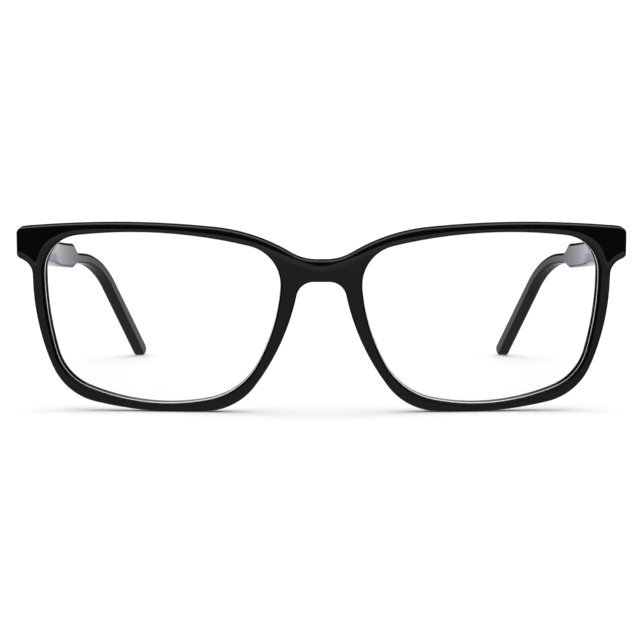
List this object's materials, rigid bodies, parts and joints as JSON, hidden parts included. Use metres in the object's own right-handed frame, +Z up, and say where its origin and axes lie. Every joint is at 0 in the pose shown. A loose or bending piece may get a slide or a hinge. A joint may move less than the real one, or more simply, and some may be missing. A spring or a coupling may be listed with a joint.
{
  "type": "eyeglasses frame",
  "caption": "Open black full-rim rectangular eyeglasses: one-piece acetate front with clear lenses and nose pads, and sprung temples that fold behind it.",
  "frame": {"origin": "on the floor, midway across, and midway between the front's foremost edge and the temple tips", "axes": "+X across the front towards the wearer's left, +Y from the front towards the temple tips, +Z up"},
  "size_m": [0.1396, 0.1368, 0.0436],
  "materials": {
    "black_acetate": "polished cellulose acetate",
    "clear_lens": "clear polished acrylic",
    "nickel_silver": "satin nickel silver",
    "steel": "bright stainless steel",
    "brass": "turned brass"
  },
  "bodies": {
    "front": {"front_frame": "black_acetate", "lens_left": "clear_lens", "lens_right": "clear_lens", "nose_pad_left": "black_acetate", "nose_pad_right": "black_acetate", "hinge_leaf_left": "nickel_silver", "hinge_leaf_right": "nickel_silver", "hinge_screw_left": "steel", "hinge_screw_right": "steel"},
    "link_left": {"hinge_slider_left": "steel", "spring_cap_left": "brass"},
    "link_right": {"hinge_slider_right": "steel", "spring_cap_right": "brass"},
    "temple_left_body": {"temple_left": "black_acetate", "temple_core_left": "nickel_silver", "hinge_housing_left": "nickel_silver", "spring_bush_left": "brass", "hinge_spring_left": "steel"},
    "temple_right_body": {"temple_right": "black_acetate", "temple_core_right": "nickel_silver", "hinge_housing_right": "nickel_silver", "spring_bush_right": "brass", "hinge_spring_right": "steel"}
  },
  "joints": [
    {"name": "temple_fold_left", "type": "hinge", "parent": "front", "child": "link_left", "pos_m": [0.0645, -0.05628, 0.03748], "axis": [0, 0.0917, 0.9958], "range_deg": [0, 82]},
    {"name": "temple_spring_left", "type": "slide", "parent": "link_left", "child": "temple_left_body", "axis": [0, 0.9958, -0.0917], "range_m": [0, 0.0012], "stiffness_N_per_m": 6000, "springref_m": -0.0004, "deforming": ["hinge_spring_left"]},
    {"name": "temple_fold_right", "type": "hinge", "parent": "front", "child": "link_right", "pos_m": [-0.0645, -0.05628, 0.03748], "axis": [0, -0.0917, -0.9958], "range_deg": [0, 69]},
    {"name": "temple_spring_right", "type": "slide", "parent": "link_right", "child": "temple_right_body", "axis": [0, 0.9958, -0.0917], "range_m": [0, 0.0012], "stiffness_N_per_m": 6000, "springref_m": -0.0004, "deforming": ["hinge_spring_right"]}
  ]
}
